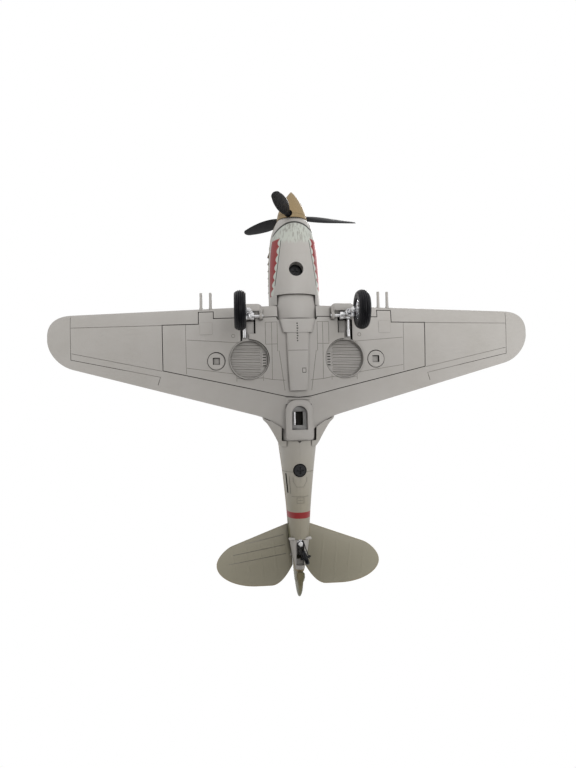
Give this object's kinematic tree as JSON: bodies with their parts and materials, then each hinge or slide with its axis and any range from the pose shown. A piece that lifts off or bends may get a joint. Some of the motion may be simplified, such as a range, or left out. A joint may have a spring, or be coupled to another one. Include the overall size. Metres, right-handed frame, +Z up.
{
  "type": "display model fighter aircraft",
  "caption": "Die-cast display model of a single-engined low-wing fighter with retracting wheels, sliding canopy and turning propeller.",
  "frame": {"origin": "middle of the footprint at the height of the tyres, model standing on its three wheels", "axes": "+X towards the port (left) wing tip, +Y aft, +Z up; the nose is raised 15.8 degrees as the model stands"},
  "size_m": [0.2366, 0.198, 0.0827],
  "materials": {
    "cast_tan": "matte camouflage paint",
    "cast_grey": "matte light grey paint with dark wash in the panel lines",
    "chrome": "bright plated",
    "tyre": "satin black rubber",
    "black_plastic": "matte black",
    "clear_plastic": "clear moulded plastic with painted frames",
    "cockpit_green": "matte green",
    "exhaust": "burnt brown",
    "screw_steel": "blackened steel"
  },
  "bodies": {
    "airframe": {"fuselage_left": "cast_tan", "fuselage_right": "cast_tan", "chin_cowl": "cast_grey", "radiator_core": "black_plastic", "radiator_flap": "cast_grey", "nose_bush": "cast_grey", "front_screw": "screw_steel", "rear_screw": "screw_steel", "wing_upper": "cast_tan", "wing_lower": "cast_grey", "wheel_well_left": "cast_grey", "wheel_well_right": "cast_grey", "jack_socket_left": "cast_grey", "jack_socket_right": "cast_grey", "gun_barrels_left": "cast_grey", "gun_barrels_right": "cast_grey", "gear_fairing_left": "cast_grey", "gear_fairing_right": "cast_grey", "hinge_pin_left": "chrome", "hinge_pin_right": "chrome", "retraction_rod_left": "chrome", "retraction_rod_right": "chrome", "stand_pad": "cast_grey", "stand_clip": "chrome", "tailplane_left": "cast_grey", "tailplane_right": "cast_grey", "rudder": "cast_tan", "tail_wheel_plate": "cast_grey", "tail_wheel_bush": "chrome", "windscreen": "clear_plastic", "rear_glass": "clear_plastic", "cockpit_tub": "cockpit_green", "seat": "cockpit_green", "instrument_panel": "black_plastic", "control_stick": "black_plastic", "gunsight": "black_plastic", "exhaust_left": "exhaust", "exhaust_right": "exhaust", "cowl_gun_left": "cast_tan", "cowl_gun_right": "cast_tan", "intake_scoop": "cast_tan", "nose_bearing": "black_plastic"},
    "propeller": {"spinner": "cast_tan", "propeller_blades": "black_plastic", "propeller_shaft": "chrome", "shaft_collar": "chrome"},
    "canopy_hood": {"canopy": "clear_plastic"},
    "tail_swivel": {"tail_fork": "chrome", "tail_axle": "chrome"},
    "tail_wheel": {"tail_hub": "chrome", "tail_tyre": "tyre"},
    "leg_left": {"gear_leg_left": "chrome"},
    "strut_left": {"gear_strut_left": "chrome"},
    "wheel_left": {"wheel_hub_left": "chrome", "tyre_left": "tyre"},
    "leg_right": {"gear_leg_right": "chrome"},
    "strut_right": {"gear_strut_right": "chrome"},
    "wheel_right": {"wheel_hub_right": "chrome", "tyre_right": "tyre"}
  },
  "joints": [
    {"name": "propeller_spin", "type": "hinge", "parent": "airframe", "child": "propeller", "pos_m": [0, -0.07976, 0.05565], "axis": [0, 0.962, -0.273], "continuous": true},
    {"name": "canopy_slide", "type": "slide", "parent": "airframe", "child": "canopy_hood", "axis": [0, 0.962, -0.273], "range_m": [0, 0.015]},
    {"name": "tail_swivel", "type": "hinge", "parent": "airframe", "child": "tail_swivel", "pos_m": [0, 0.06539, 0.00927], "axis": [0, 0.273, 0.962], "range_deg": [-27, 63]},
    {"name": "tail_wheel_spin", "type": "hinge", "parent": "tail_swivel", "child": "tail_wheel", "pos_m": [0.00195, 0.06995, 0.0034], "axis": [0.9511, -0.2973, 0.0844], "continuous": true},
    {"name": "gear_retract_left", "type": "hinge", "parent": "airframe", "child": "leg_left", "pos_m": [0.0226, -0.04108, 0.02784], "axis": [1, 0, 0], "range_deg": [0, 88]},
    {"name": "gear_twist_left", "type": "hinge", "parent": "leg_left", "child": "strut_left", "pos_m": [0.0226, -0.04108, 0.02784], "axis": [0, 0.2388, 0.9711], "range_deg": [0, 90]},
    {"name": "wheel_spin_left", "type": "hinge", "parent": "strut_left", "child": "wheel_left", "pos_m": [0.0264, -0.04581, 0.00861], "axis": [1, 0, 0], "continuous": true},
    {"name": "gear_retract_right", "type": "hinge", "parent": "airframe", "child": "leg_right", "pos_m": [-0.0226, -0.04108, 0.02784], "axis": [1, 0, 0], "range_deg": [0, 88]},
    {"name": "gear_twist_right", "type": "hinge", "parent": "leg_right", "child": "strut_right", "pos_m": [-0.0226, -0.04108, 0.02784], "axis": [0, -0.2388, -0.9711], "range_deg": [0, 90]},
    {"name": "wheel_spin_right", "type": "hinge", "parent": "strut_right", "child": "wheel_right", "pos_m": [-0.0264, -0.04581, 0.00861], "axis": [1, 0, 0], "continuous": true}
  ],
  "couplings": [
    {"joint": "gear_twist_left", "follows": "gear_retract_left", "ratio": 1.02},
    {"joint": "gear_twist_right", "follows": "gear_retract_right", "ratio": 1.02}
  ]
}
